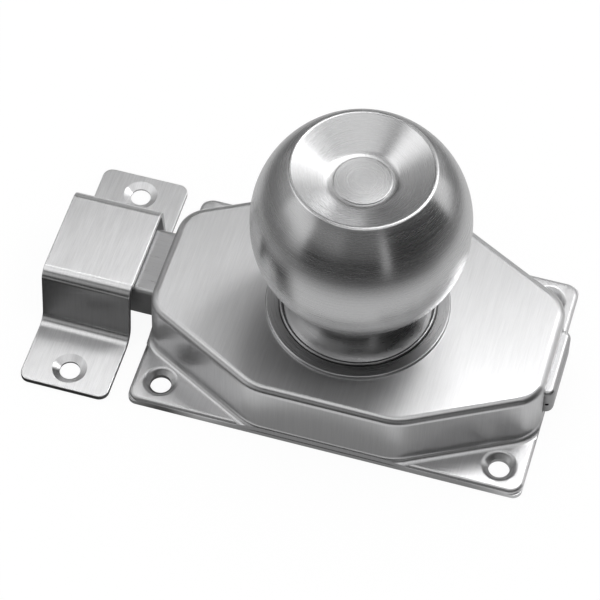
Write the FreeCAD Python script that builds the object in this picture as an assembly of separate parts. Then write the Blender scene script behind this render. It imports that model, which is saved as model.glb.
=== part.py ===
"""Surface-mounted gate bolt: an eight-sided pressed cover with a turning ball knob, a rack-driven
flat bolt bar and a strap keeper.

Millimetres, +Z out of the gate. The origin is in the mounting plane on the knob's axis, and the
bolt is thrown towards -X."""

import FreeCAD
import Part
import math
import os
from FreeCAD import Vector

# Mounting plate behind the cover
PLATE_LENGTH = 94.8
PLATE_WIDTH = 61.3
PLATE_THICKNESS = 1.2
PLATE_CORNER_RADIUS = 2.2

# Pressed cover: a dome with its four corners cut off, and a flange round it
COVER_SHEET = 1.2
COVER_CORNER_RADIUS = 3.2
COVER_EDGE_RADIUS = 1.0
DOME_END_MARGIN = 0.1
DOME_SIDE_MARGIN = 0.35
CORNER_CUT_X = 30.0
CORNER_CUT_Y = 15.8
DOME_DRAFT_DEG = 1.0
DOME_END_ROUND = 8.0
DOME_FRONT_ROUND = 12.0
DOME_TOP_RADIUS = 2.0
DOME_FLARE_RADIUS = 1.6
LEAST_BEND = 0.3

# Mounting holes in the flange's corners, each pressed down as a dimple
CASE_HOLE_INSET_X = 6.5
CASE_HOLE_INSET_Y = 6.4
CASE_HOLE_RADIUS = 2.5
DIMPLE_RIM_WIDTH = 1.3
DIMPLE_DEPTH = 1.3
DIMPLE_SHOULDER = 1.0
DIMPLE_ROUND = 1.5
DIMPLE_CLEARANCE = 0.3

# Bolt bar: a thick head that is thrown, and a thinner slide with the rack and the tail
BOLT_WIDTH = 19.0
HEAD_THICKNESS = 9.7
SLIDE_THICKNESS = 8.0
BOLT_ABOVE_PLATE = 4.2
BOLT_EDGE_RADIUS = 1.2
BOLT_CORNER_RADIUS = 2.0
BOLT_PROUD_WHEN_DRAWN = 0.2
BOLT_TAIL_PROUD = 2.1
HEAD_TO_RETAINER = 2.5
TAIL_HOLE_RADIUS = 0.45
TAIL_HOLE_DEPTH = 2.0
TAIL_HOLE_INSET = 1.4
TAIL_HOLE_HEIGHT = 3.7
SLOT_CLEARANCE = 0.3
SLOT_CORNER_RADIUS = 1.0

# Rack and pinion
GEAR_MODULE = 1.0
PINION_TEETH = 11
PRESSURE_ANGLE_DEG = 25.0
ADDENDUM = 0.9
DEDENDUM = 1.15
BACKLASH = 0.16
PINION_SHORTER_THAN_SLIDE = 0.9
KNOB_TURN_DEG = 180.0
WINDOW_CLEARANCE = 0.6
FLANK_POINTS = 6

# Shaft under the knob and its bush in the mounting plate
JOURNAL_RADIUS = 3.0
SHAFT_SQUARE = 6.0
SHAFT_CHAMFER = 0.5
SHAFT_STEP = 0.05
BUSH_WALL = 2.0
BUSH_FLANGE_WIDTH = 1.5
BUSH_FLANGE_THICKNESS = 1.0
RUNNING_CLEARANCE = 0.1
END_FLOAT = 0.1

# Retaining ring, collar and washer, stacked above the bar
HUB_ABOVE_SLIDE = 0.3
HUB_LIP = 1.15
RETAINER_THICKNESS = 0.8
RETAINER_GROOVE_DEPTH = 1.0
RETAINER_PROUD = 1.8
RETAINER_GAP_DEG = 60.0
COLLAR_FLOOR_THICKNESS = 1.5
COLLAR_FLOOR_TO_COVER = 0.65
COLLAR_FLANGE_RADIUS = 21.6
COLLAR_FLANGE_THICKNESS = 0.8
COLLAR_EDGE_RADIUS = 0.45
COLLAR_WALL = 0.8
ASSEMBLY_CLEARANCE = 0.05
LOCK_RING_WIDTH = 3.0
LOCK_RING_THICKNESS = 1.1
WASHER_THICKNESS = 0.4
NECK_GAP = 0.2

# Knob: hub, flared neck, and a hollow ball with a dished face
HUB_RADIUS = 11.0
HUB_FLANGE_THICKNESS = 0.8
HUB_CHAMFER = 0.6
HUB_RISE = 2.3
HUB_PIN_RADIUS = 1.5
HUB_PIN_DROP = 4.5
SHAFT_BELOW_HUB_TOP = 1.5
NECK_RADIUS = 12.4
NECK_SHEET = 1.0
NECK_HEIGHT = 9.0
NECK_FOOT_HEIGHT = 1.0
NECK_BEAD_RADIUS = 18.4
NECK_BEAD_WIDTH = 1.0
NECK_BEAD_RISE = 0.45
NECK_TUBE_LENGTH = 4.0
BALL_RADIUS = 25.0
BALL_SHEET = 1.0
BALL_BAND = 1.0
FACE_RIM_RADIUS = 16.2
FACE_RIM_ROUND = 1.0
FACE_FLAT_RADIUS = 7.8
FACE_DEPTH = 4.6
FACE_BLEND_RADIUS = 4.0
FACE_DISC_RADIUS = 6.6
FACE_DISC_RISE = 0.25
FACE_DISC_ROUND = 0.2

# Guides for the bar: a strap over it and a pad under it, near each end of the cover
GUIDE_PAST_LEAF = 1.4
GUIDE_LENGTH = 7.0
GUIDE_SHEET = 1.2
GUIDE_BEND_RADIUS = 1.4
GUIDE_FOOT_LENGTH = 5.0
GUIDE_SIDE_CLEARANCE = 0.5
GUIDE_TOP_CLEARANCE = 0.25
PAD_LENGTH = 6.0
PAD_CLEARANCE = 0.1
PAD_ROUND = 0.4
RIVET_RADIUS = 1.2
RIVET_HEAD_RADIUS = 1.7
RIVET_HEAD_HEIGHT = 0.9

# Detent: a leaf spring that drops into a notch at each end of the bar's travel
LEAF_SHEET = 0.5
LEAF_WIDTH = 8.0
LEAF_FOOT_GAP = 2.4
LEAF_FOOT_LENGTH = 5.6
LEAF_REST_GAP = 0.5
LEAF_NOSE_RISE = 0.8
LEAF_NOSE_HALF_WIDTH = 1.4
LEAF_BEND_RADIUS = 0.3
LEAF_TAIL_LENGTH = 1.0
LEAF_TAIL_DROP = 0.4
NOTCH_DEPTH = 1.3
NOTCH_HALF_WIDTH = 2.0
NOTCH_SIDE_CLEARANCE = 0.6
NOTCH_TO_WINDOW = 1.2

# Pillars between cover and plate, each with a countersunk screw from behind
PILLAR_ANGLE_DEG = 50.0
PILLAR_PAST_LOCK_RING = 1.0
PILLAR_RADIUS = 3.2
SCREW_RADIUS = 1.5
SCREW_HEAD_RADIUS = 2.6
SCREW_LENGTH = 8.0
SCREW_CROSS_LENGTH = 3.0
SCREW_CROSS_WIDTH = 0.8
SCREW_CROSS_DEPTH = 0.6

# Keeper: one strap bent from sheet, set a little to one side of the bolt's middle line
KEEPER_GAP = 4.5
KEEPER_SIDEWAYS = 0.5
KEEPER_EDGE_RADIUS = 0.25
KEEPER_WIDTH = 21.7
KEEPER_LENGTH = 65.2
KEEPER_SHEET = 1.4
KEEPER_SIDE_CLEARANCE = 2.1
KEEPER_TOP_CLEARANCE = 0.9
KEEPER_WALL_SPLAY = 2.0
KEEPER_TOP_BEND = 1.6
KEEPER_FOOT_BEND = 3.0
KEEPER_CORNER_RADIUS = 2.4
KEEPER_HOLE_INSET = 5.8
KEEPER_HOLE_RADIUS = 2.45
KEEPER_COUNTERSINK_WIDTH = 1.7
KEEPER_COUNTERSINK_DEPTH = 0.9

# Levels worked out from the stack
FLANGE_TOP = PLATE_THICKNESS + COVER_SHEET
BOLT_UNDERSIDE = PLATE_THICKNESS + BOLT_ABOVE_PLATE
HEAD_TOP = BOLT_UNDERSIDE + HEAD_THICKNESS
SLIDE_TOP = BOLT_UNDERSIDE + SLIDE_THICKNESS
HUB_UNDERSIDE = SLIDE_TOP + HUB_ABOVE_SLIDE
RETAINER_LOW = HUB_UNDERSIDE + HUB_LIP
RETAINER_HIGH = RETAINER_LOW + RETAINER_THICKNESS
COLLAR_UNDERSIDE = RETAINER_HIGH + END_FLOAT
COLLAR_FLOOR = COLLAR_UNDERSIDE + COLLAR_FLOOR_THICKNESS
COVER_HEIGHT = COLLAR_FLOOR + COLLAR_FLOOR_TO_COVER
CEILING = COVER_HEIGHT - COVER_SHEET
COLLAR_TOP = COVER_HEIGHT + COLLAR_FLANGE_THICKNESS
WASHER_TOP = COLLAR_FLOOR + WASHER_THICKNESS
NECK_SEAT = WASHER_TOP + ASSEMBLY_CLEARANCE
NECK_TOP = NECK_SEAT + NECK_HEIGHT
HUB_TOP = NECK_TOP + HUB_RISE
BALL_CENTRE = NECK_TOP + math.sqrt(BALL_RADIUS**2 - NECK_RADIUS**2) + BALL_BAND
PINION_HEIGHT = SLIDE_THICKNESS - PINION_SHORTER_THAN_SLIDE
PINION_UNDERSIDE = BOLT_UNDERSIDE + PINION_SHORTER_THAN_SLIDE / 2

# Places worked out along the bar
DOME_LENGTH = PLATE_LENGTH - 2 * DOME_END_MARGIN
DOME_WIDTH = PLATE_WIDTH - 2 * DOME_SIDE_MARGIN
TOOTH_PITCH = math.pi * GEAR_MODULE
PITCH_RADIUS = GEAR_MODULE * PINION_TEETH / 2
TIP_RADIUS = PITCH_RADIUS + ADDENDUM * GEAR_MODULE
ROOT_RADIUS = PITCH_RADIUS - DEDENDUM * GEAR_MODULE
THROW = PITCH_RADIUS * math.radians(KNOB_TURN_DEG)
WINDOW_LEFT = -(THROW + TIP_RADIUS + WINDOW_CLEARANCE)
WINDOW_RIGHT = TIP_RADIUS + WINDOW_CLEARANCE
DETENT_PLACE = WINDOW_LEFT - NOTCH_TO_WINDOW - NOTCH_HALF_WIDTH
BOLT_NOSE = -DOME_LENGTH / 2 - BOLT_PROUD_WHEN_DRAWN - THROW
BOLT_TAIL = DOME_LENGTH / 2 + BOLT_TAIL_PROUD
HEAD_END = -(THROW + HUB_RADIUS + RETAINER_PROUD + HEAD_TO_RETAINER)
LEAF_REACH = LEAF_NOSE_HALF_WIDTH + LEAF_TAIL_LENGTH - DETENT_PLACE
GUIDE_REACH = LEAF_REACH + GUIDE_PAST_LEAF + PAD_LENGTH / 2
KEEPER_MIDDLE = -PLATE_LENGTH / 2 - KEEPER_GAP - KEEPER_WIDTH / 2

# Radii worked out round the knob's axis
BUSH_RADIUS = JOURNAL_RADIUS + BUSH_WALL
COLLAR_RECESS_RADIUS = NECK_BEAD_RADIUS + NECK_GAP
COLLAR_BODY_RADIUS = COLLAR_RECESS_RADIUS + COLLAR_WALL
LOCK_RING_RADIUS = COLLAR_BODY_RADIUS + ASSEMBLY_CLEARANCE + LOCK_RING_WIDTH
PILLAR_CIRCLE_RADIUS = LOCK_RING_RADIUS + PILLAR_PAST_LOCK_RING + PILLAR_RADIUS
HUB_BORE_RADIUS = HUB_RADIUS + RUNNING_CLEARANCE
RETAINER_GROOVE_RADIUS = HUB_RADIUS - RETAINER_GROOVE_DEPTH
NECK_BORE_RADIUS = NECK_RADIUS - NECK_SHEET

UP = Vector(0, 0, 1)
BEYOND = 150.0
HALF_ROOT = math.sqrt(0.5)
NEAR = 1e-5


def arc_corner(before, corner, after, radius):
    """The start, middle and end of an arc that rounds a corner."""
    into = (before - corner).normalize()
    out = (after - corner).normalize()
    half = into.getAngle(out) / 2
    reach = radius / math.tan(half)
    inward = (into + out).normalize()
    middle = corner + inward * (radius / math.sin(half) - radius)
    return corner + into * reach, middle, corner + out * reach


def closed_path(points, radii):
    """A closed wire through the points, each corner rounded by its radius, or sharp at zero."""
    count = len(points)
    stops = []
    for index, (point, radius) in enumerate(zip(points, radii)):
        if radius > 0:
            stops.append(arc_corner(points[index - 1], point, points[(index + 1) % count], radius))
        else:
            stops.append((point, None, point))
    edges = []
    for index, (start, middle, end) in enumerate(stops):
        if middle is not None:
            edges.append(Part.Arc(start, middle, end).toShape())
        following = stops[(index + 1) % count][0]
        if end.distanceToPoint(following) > NEAR:
            edges.append(Part.LineSegment(end, following).toShape())
    return Part.Wire(edges)


def sharp_path(points):
    """A closed wire through the points with no corner rounded."""
    return closed_path(points, [0] * len(points))


def raised(wire, height):
    """A solid raised along Z from a flat closed wire."""
    return Part.Face(wire).extrude(Vector(0, 0, height))


def turned(wire):
    """A solid turned about the Z axis from a closed wire in the XZ plane."""
    return Part.Face(wire).revolve(Vector(0, 0, 0), UP, 360)


def cylinder(radius, low, high, x=0.0, y=0.0):
    """An upright cylinder."""
    return Part.makeCylinder(radius, high - low, Vector(x, y, low), UP)


def tube(outer, inner, low, high):
    """An upright tube on the knob's axis."""
    return cylinder(outer, low, high).cut(cylinder(inner, low - 1, high + 1))


def square_bar(side, low, high):
    """An upright square bar on the knob's axis."""
    return Part.makeBox(side, side, high - low, Vector(-side / 2, -side / 2, low))


def rounded_block(length, width, radius, low, high, middle=0.0):
    """An upright block with a rounded rectangular plan, its middle on the X axis."""
    signs = ((-1, -1), (1, -1), (1, 1), (-1, 1))
    points = [Vector(middle + sx * length / 2, sy * width / 2, low) for sx, sy in signs]
    return raised(closed_path(points, [radius] * 4), high - low)


def four_corners(reach_x, reach_y):
    """The four places of a rectangular pattern round the origin."""
    return [(sx * reach_x, sy * reach_y) for sx in (-1, 1) for sy in (-1, 1)]


def bent_strip(line, bends, sheet, place):
    """A closed wire round a bent sheet of even thickness. The line holds the ends and corners of
    its middle line as flat points, bends the radius inside each corner, and place puts a flat
    point in space."""
    last = len(line) - 1
    steps = [(b[0] - a[0], b[1] - a[1]) for a, b in zip(line, line[1:])]
    headings = [math.atan2(rise, run) for run, rise in steps]
    left, right = [], []
    for index, (run, rise) in enumerate(line):
        before = headings[max(index - 1, 0)]
        after = headings[min(index, last - 1)]
        turn = after - before
        middle = (before + after) / 2
        offset = sheet / 2 / math.cos(turn / 2)
        shift_run, shift_rise = -math.sin(middle) * offset, math.cos(middle) * offset
        is_end = index in (0, last)
        inside = 0 if is_end else bends[index - 1]
        outside = 0 if is_end else inside + sheet
        left_bend, right_bend = (inside, outside) if turn > 0 else (outside, inside)
        left.append((place(run + shift_run, rise + shift_rise), left_bend))
        right.append((place(run - shift_run, rise - shift_rise), right_bend))
    outline = left + right[::-1]
    return closed_path([point for point, _ in outline], [radius for _, radius in outline])


def octagon(inset, height):
    """The dome's eight-sided outline at a height, moved in from its foot by inset."""
    half_length, half_width = DOME_LENGTH / 2, DOME_WIDTH / 2
    slope = math.atan2(CORNER_CUT_Y, CORNER_CUT_X)
    x_front = half_length - CORNER_CUT_X - inset * math.tan(slope / 2)
    y_end = half_width - CORNER_CUT_Y - inset * math.tan((math.pi / 2 - slope) / 2)
    x_end, y_front = half_length - inset, half_width - inset
    quarter = [(x_end, y_end, DOME_END_ROUND), (x_front, y_front, DOME_FRONT_ROUND)]
    half = quarter + [(-x, y, r) for x, y, r in quarter[::-1]]
    corners = half + [(x, -y, r) for x, y, r in half[::-1]]
    points = [Vector(x, y, height) for x, y, _ in corners]
    return closed_path(points, [r - inset for _, _, r in corners])


def press_form(depth_in):
    """One face of the press tool as a solid: a wide slab with the dome on it, moved in by
    depth_in from the cover's outer face."""
    slab_top = FLANGE_TOP - depth_in
    dome_top = COVER_HEIGHT - depth_in
    lean = math.tan(math.radians(DOME_DRAFT_DEG))
    low = slab_top - COVER_SHEET
    outlines = [octagon(depth_in + (z - FLANGE_TOP) * lean, z) for z in (low, dome_top)]
    dome = Part.makeLoft(outlines, True, True)
    rim = [e for e in dome.Edges if all(abs(v.Z - dome_top) < NEAR for v in e.Vertexes)]
    dome = dome.makeFillet(max(DOME_TOP_RADIUS - depth_in, LEAST_BEND), rim)
    margin = 4 * (DOME_FLARE_RADIUS + COVER_SHEET)
    length, width = PLATE_LENGTH + 2 * margin, PLATE_WIDTH + 2 * margin
    form = rounded_block(length, width, margin, -PLATE_THICKNESS, slab_top).fuse(dome)
    foot = [
        e
        for e in form.Edges
        if all(abs(v.Z - slab_top) < NEAR for v in e.Vertexes)
        and all(abs(v.X) < PLATE_LENGTH / 2 and abs(v.Y) < PLATE_WIDTH / 2 for v in e.Vertexes)
    ]
    return form.makeFillet(DOME_FLARE_RADIUS + depth_in, foot)


def case_hole_places():
    """The four mounting holes of the case."""
    return four_corners(
        PLATE_LENGTH / 2 - CASE_HOLE_INSET_X, PLATE_WIDTH / 2 - CASE_HOLE_INSET_Y
    )


def dimple(x, y):
    """The pressed-down ring round one mounting hole."""
    rim = CASE_HOLE_RADIUS + DIMPLE_RIM_WIDTH
    shoulder = rim + DIMPLE_SHOULDER
    low = FLANGE_TOP - DIMPLE_DEPTH
    points = [
        Vector(CASE_HOLE_RADIUS, 0, 0),
        Vector(CASE_HOLE_RADIUS, 0, low),
        Vector(rim, 0, FLANGE_TOP),
        Vector(shoulder, 0, FLANGE_TOP),
        Vector(shoulder, 0, PLATE_THICKNESS),
        Vector(rim, 0, PLATE_THICKNESS),
        Vector(rim - DIMPLE_RIM_WIDTH / 2, 0, 0),
    ]
    ring = turned(closed_path(points, [0, 0, DIMPLE_ROUND, 0, 0, 0, 0]))
    ring.translate(Vector(x, y, 0))
    return ring


def bolt_slot(top, reach):
    """A long bar of one slot's section, from the middle out through an end of the cover."""
    half = BOLT_WIDTH / 2 + SLOT_CLEARANCE
    low, high = BOLT_UNDERSIDE - SLOT_CLEARANCE, top + SLOT_CLEARANCE
    corners = ((-half, low), (half, low), (half, high), (-half, high))
    wire = closed_path([Vector(0, y, z) for y, z in corners], [SLOT_CORNER_RADIUS] * 4)
    return Part.Face(wire).extrude(Vector(reach, 0, 0))


def cover_outline():
    """The room that the cover is trimmed to: a flange with a rounded upper edge, and straight
    sides round the dome."""
    flange = rounded_block(
        PLATE_LENGTH, PLATE_WIDTH, COVER_CORNER_RADIUS, PLATE_THICKNESS, FLANGE_TOP
    )
    rim = [e for e in flange.Edges if all(abs(v.Z - FLANGE_TOP) < NEAR for v in e.Vertexes)]
    flange = flange.makeFillet(COVER_EDGE_RADIUS, rim)
    above = rounded_block(
        PLATE_LENGTH, PLATE_WIDTH, COVER_CORNER_RADIUS, PLATE_THICKNESS, COVER_HEIGHT + 1
    )
    round_dome = raised(octagon(-DOME_FLARE_RADIUS, PLATE_THICKNESS), COVER_HEIGHT)
    return flange.fuse(above.common(round_dome))


def case_cover():
    """The pressed cover: dome, flange corners, dimpled holes, bolt slots and collar hole."""
    sheet = press_form(0).cut(press_form(COVER_SHEET)).common(cover_outline())
    shoulder = CASE_HOLE_RADIUS + DIMPLE_RIM_WIDTH + DIMPLE_SHOULDER
    for x, y in case_hole_places():
        sheet = sheet.cut(cylinder(shoulder, 0, FLANGE_TOP, x, y)).fuse(dimple(x, y))
    hole_radius = COLLAR_BODY_RADIUS + ASSEMBLY_CLEARANCE
    sheet = sheet.cut(cylinder(hole_radius, SLIDE_TOP, COVER_HEIGHT + 1))
    sheet = sheet.cut(bolt_slot(HEAD_TOP, -BEYOND)).cut(bolt_slot(SLIDE_TOP, BEYOND))
    return sheet.removeSplitter()


def back_plate():
    """The flat plate behind the cover, with its holes."""
    plate = rounded_block(PLATE_LENGTH, PLATE_WIDTH, PLATE_CORNER_RADIUS, 0, PLATE_THICKNESS)
    dimple_hole = CASE_HOLE_RADIUS + DIMPLE_RIM_WIDTH + DIMPLE_CLEARANCE
    for x, y in case_hole_places():
        plate = plate.cut(cylinder(dimple_hole, -1, FLANGE_TOP, x, y))
    for x, y in pillar_places():
        plate = plate.cut(screw_seat(x, y))
    for x, y in guide_rivet_places() + leaf_rivet_places():
        plate = plate.cut(cylinder(RIVET_RADIUS, -1, FLANGE_TOP, x, y))
    return plate.cut(cylinder(BUSH_RADIUS, -1, FLANGE_TOP))


def pillar_places():
    """The four pillars, on a circle just outside the lock ring."""
    angle = math.radians(PILLAR_ANGLE_DEG)
    return four_corners(
        PILLAR_CIRCLE_RADIUS * math.cos(angle), PILLAR_CIRCLE_RADIUS * math.sin(angle)
    )


def cover_pillars():
    """The pillars between plate and cover, each tapped for its screw."""
    pillars = []
    for x, y in pillar_places():
        pillar = cylinder(PILLAR_RADIUS, PLATE_THICKNESS, CEILING, x, y)
        tapped_hole = cylinder(SCREW_RADIUS + ASSEMBLY_CLEARANCE, 0, SCREW_LENGTH + 1, x, y)
        pillars.append(pillar.cut(tapped_hole))
    return Part.makeCompound(pillars)


def screw_seat(x, y):
    """The countersunk hole in the plate for one cover screw."""
    head, stem = SCREW_HEAD_RADIUS + ASSEMBLY_CLEARANCE, SCREW_RADIUS + ASSEMBLY_CLEARANCE
    cone = Part.makeCone(head, stem, head - stem, Vector(x, y, 0), UP)
    return cone.fuse(cylinder(stem, 0, FLANGE_TOP, x, y))


def cover_screw(x, y):
    """One countersunk screw, flush with the mounting face, with a cross recess."""
    head_depth = SCREW_HEAD_RADIUS - SCREW_RADIUS
    screw = Part.makeCone(SCREW_HEAD_RADIUS, SCREW_RADIUS, head_depth, Vector(x, y, 0), UP)
    screw = screw.fuse(cylinder(SCREW_RADIUS, head_depth / 2, SCREW_LENGTH, x, y))
    arms = (SCREW_CROSS_LENGTH, SCREW_CROSS_WIDTH)
    for length, width in (arms, arms[::-1]):
        corner = Vector(x - length / 2, y - width / 2, -SCREW_CROSS_DEPTH)
        screw = screw.cut(Part.makeBox(length, width, 2 * SCREW_CROSS_DEPTH, corner))
    return screw.removeSplitter()


def cover_screws():
    """The four screws that hold the plate to the pillars."""
    return Part.makeCompound([cover_screw(x, y) for x, y in pillar_places()])


def guide_foot_span():
    """Where a guide's foot starts and ends, measured from the bar's middle line."""
    start = BOLT_WIDTH / 2 + GUIDE_SIDE_CLEARANCE + GUIDE_SHEET
    return start, start + GUIDE_FOOT_LENGTH


def guide_rivet_places():
    """The rivets in the feet of both guides, each in the flat of its foot."""
    start, end = guide_foot_span()
    reach = (start + GUIDE_BEND_RADIUS + end) / 2
    return [(x, side * reach) for x in (-GUIDE_REACH, GUIDE_REACH) for side in (-1, 1)]


def bolt_guide(middle, bar_top):
    """A strap over the bar, with a foot each side on the mounting plate."""
    foot_start, foot_end = guide_foot_span()
    wall = foot_start - GUIDE_SHEET / 2
    low = PLATE_THICKNESS + GUIDE_SHEET / 2
    high = bar_top + GUIDE_TOP_CLEARANCE + GUIDE_SHEET / 2
    half = ((-foot_end, low), (-wall, low), (-wall, high))
    line = half + tuple((-y, z) for y, z in half[::-1])
    start = middle - GUIDE_LENGTH / 2
    bends = [GUIDE_BEND_RADIUS] * 4
    wire = bent_strip(line, bends, GUIDE_SHEET, lambda y, z: Vector(start, y, z))
    strap = Part.Face(wire).extrude(Vector(GUIDE_LENGTH, 0, 0))
    for x, y in guide_rivet_places():
        strap = strap.cut(cylinder(RIVET_RADIUS, 0, BOLT_UNDERSIDE, x, y))
    return strap


def slide_pad(middle):
    """A block under the bar, between the legs of its strap."""
    width = BOLT_WIDTH + 2 * (GUIDE_SIDE_CLEARANCE - GUIDE_BEND_RADIUS)
    top = BOLT_UNDERSIDE - PAD_CLEARANCE
    return rounded_block(PAD_LENGTH, width, PAD_ROUND, PLATE_THICKNESS, top, middle)


def rivet(x, y, sheet):
    """One rivet, flush behind the plate, with a low domed head on the sheet that it holds."""
    seat = PLATE_THICKNESS + sheet
    stem = cylinder(RIVET_RADIUS, 0, seat, x, y)
    dome_radius = (RIVET_HEAD_RADIUS**2 + RIVET_HEAD_HEIGHT**2) / (2 * RIVET_HEAD_HEIGHT)
    ball = Part.makeSphere(dome_radius, Vector(x, y, seat + RIVET_HEAD_HEIGHT - dome_radius))
    head = ball.common(cylinder(2 * RIVET_HEAD_RADIUS, seat, seat + dome_radius, x, y))
    return stem.fuse(head).removeSplitter()


def guide_rivets():
    """The rivets that hold both guides."""
    return Part.makeCompound([rivet(x, y, GUIDE_SHEET) for x, y in guide_rivet_places()])


def leaf_foot_start():
    """Where the leaf spring's foot starts, beside the bush."""
    return -(BUSH_RADIUS + BUSH_FLANGE_WIDTH + LEAF_FOOT_GAP)


def leaf_rivet_places():
    """The pair of rivets in the leaf spring's foot."""
    x = leaf_foot_start() - LEAF_FOOT_LENGTH / 2
    return [(x, side * LEAF_WIDTH / 4) for side in (-1, 1)]


def detent_spring():
    """The leaf spring that holds the bar at each end of its travel."""
    start = leaf_foot_start()
    low = PLATE_THICKNESS + LEAF_SHEET / 2
    under_bar = BOLT_UNDERSIDE - LEAF_REST_GAP - LEAF_SHEET / 2
    line = (
        (start, low),
        (start - LEAF_FOOT_LENGTH, low),
        (DETENT_PLACE + LEAF_NOSE_HALF_WIDTH, under_bar),
        (DETENT_PLACE, under_bar + LEAF_REST_GAP + LEAF_NOSE_RISE),
        (DETENT_PLACE - LEAF_NOSE_HALF_WIDTH, under_bar),
        (-LEAF_REACH, under_bar - LEAF_TAIL_DROP),
    )
    mirrored = [(-x, z) for x, z in line]
    side = -LEAF_WIDTH / 2
    bends = [LEAF_BEND_RADIUS] * 4
    wire = bent_strip(mirrored, bends, LEAF_SHEET, lambda x, z: Vector(-x, side, z))
    leaf = Part.Face(wire).extrude(Vector(0, LEAF_WIDTH, 0))
    for x, y in leaf_rivet_places():
        leaf = leaf.cut(cylinder(RIVET_RADIUS, 0, BOLT_UNDERSIDE, x, y))
    return leaf


def detent_rivets():
    """The rivets that hold the leaf spring."""
    return Part.makeCompound([rivet(x, y, LEAF_SHEET) for x, y in leaf_rivet_places()])


def shaft_bush():
    """The flanged bush in the mounting plate for the shaft's lower end."""
    bore = JOURNAL_RADIUS + RUNNING_CLEARANCE
    flange_top = PLATE_THICKNESS + BUSH_FLANGE_THICKNESS
    flange = tube(BUSH_RADIUS + BUSH_FLANGE_WIDTH, bore, PLATE_THICKNESS, flange_top)
    return tube(BUSH_RADIUS, bore, 0, PLATE_THICKNESS).fuse(flange).removeSplitter()


def involute_point(base_radius, radius, half_angle, side):
    """A point of a tooth's flank at a radius, on one side of the tooth's middle line."""
    roll = math.sqrt(max((radius / base_radius) ** 2 - 1, 0))
    angle = math.pi / 2 + side * (half_angle - (roll - math.atan(roll)))
    return Vector(radius * math.cos(angle), radius * math.sin(angle), 0)


def spline(points):
    """An edge through the points."""
    curve = Part.BSplineCurve()
    curve.interpolate(points)
    return curve.toShape()


def join(edges, start, end):
    """Add a straight edge, unless its ends meet already."""
    if start.distanceToPoint(end) > NEAR:
        edges.append(Part.LineSegment(start, end).toShape())


def pinion_teeth():
    """The pinion's outline: involute flanks by formula, radial roots, arcs at tip and root."""
    pressure = math.radians(PRESSURE_ANGLE_DEG)
    base_radius = PITCH_RADIUS * math.cos(pressure)
    half_tooth = (TOOTH_PITCH - BACKLASH) / (4 * PITCH_RADIUS)
    half_angle = half_tooth + math.tan(pressure) - pressure
    low = max(base_radius, ROOT_RADIUS)
    step = (TIP_RADIUS - low) / (FLANK_POINTS - 1)
    radii = [low + step * index for index in range(FLANK_POINTS)]
    left = [involute_point(base_radius, radius, half_angle, 1) for radius in radii]
    right = [involute_point(base_radius, radius, half_angle, -1) for radius in radii]
    edges = []
    for tooth in range(PINION_TEETH):
        here = FreeCAD.Rotation(UP, -360.0 / PINION_TEETH * tooth)
        after = FreeCAD.Rotation(UP, -360.0 / PINION_TEETH * (tooth + 1))
        rising = [here.multVec(point) for point in left]
        falling = [here.multVec(point) for point in right[::-1]]
        foot_in = Vector(rising[0]).normalize() * ROOT_RADIUS
        foot_out = Vector(falling[-1]).normalize() * ROOT_RADIUS
        next_foot = after.multVec(left[0]).normalize() * ROOT_RADIUS
        root_middle = (foot_out + next_foot).normalize() * ROOT_RADIUS
        tip_middle = here.multVec(Vector(0, TIP_RADIUS, 0))
        join(edges, foot_in, rising[0])
        edges.append(spline(rising))
        edges.append(Part.Arc(rising[-1], tip_middle, falling[0]).toShape())
        edges.append(spline(falling))
        join(edges, falling[-1], foot_out)
        edges.append(Part.Arc(foot_out, root_middle, next_foot).toShape())
    return Part.Wire(edges)


def pinion_shaft():
    """The pinion, with its journal below and the square that the hub drives above."""
    shoulder_low = PLATE_THICKNESS + BUSH_FLANGE_THICKNESS + END_FLOAT
    shoulder_radius = ROOT_RADIUS - SHAFT_STEP
    top = HUB_TOP - SHAFT_BELOW_HUB_TOP
    inside_teeth = PINION_UNDERSIDE + PINION_HEIGHT / 2
    teeth = raised(pinion_teeth(), PINION_HEIGHT)
    teeth.translate(Vector(0, 0, PINION_UNDERSIDE))
    corner = SHAFT_SQUARE / math.sqrt(2)
    chamfer = SHAFT_CHAMFER
    tip = Part.makeCone(corner, corner - chamfer, chamfer, Vector(0, 0, top - chamfer), UP)
    envelope = cylinder(corner, inside_teeth, top - chamfer).fuse(tip)
    square = square_bar(SHAFT_SQUARE, inside_teeth, top).common(envelope)
    shaft = cylinder(JOURNAL_RADIUS, END_FLOAT, inside_teeth)
    shaft = shaft.fuse(cylinder(shoulder_radius, shoulder_low, inside_teeth))
    return shaft.fuse(teeth).fuse(square).cut(hub_pin()).removeSplitter()


def rack_window():
    """What is cut out of the bar: the window that the pinion stands in, and the rack's tooth
    spaces along its far side."""
    low_y = -(TIP_RADIUS + WINDOW_CLEARANCE)
    tip_y = PITCH_RADIUS - ADDENDUM * GEAR_MODULE
    root_y = PITCH_RADIUS + DEDENDUM * GEAR_MODULE
    low, height = BOLT_UNDERSIDE - 1, SLIDE_THICKNESS + 2
    size_x, size_y = WINDOW_RIGHT - WINDOW_LEFT, tip_y - low_y
    window = Part.makeBox(size_x, size_y, height, Vector(WINDOW_LEFT, low_y, low))
    lean = math.tan(math.radians(PRESSURE_ANGLE_DEG))
    half_space = (TOOTH_PITCH + BACKLASH) / 4
    wide = half_space + (PITCH_RADIUS - tip_y) * lean
    narrow = half_space - (root_y - PITCH_RADIUS) * lean
    first = math.ceil((WINDOW_LEFT + wide) / TOOTH_PITCH)
    last = math.floor((WINDOW_RIGHT - wide) / TOOTH_PITCH)
    for index in range(first, last + 1):
        x = index * TOOTH_PITCH
        corners = ((x - wide, tip_y), (x - narrow, root_y), (x + narrow, root_y), (x + wide, tip_y))
        space = sharp_path([Vector(px, py, low) for px, py in corners])
        window = window.fuse(raised(space, height))
    return window.removeSplitter()


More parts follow.
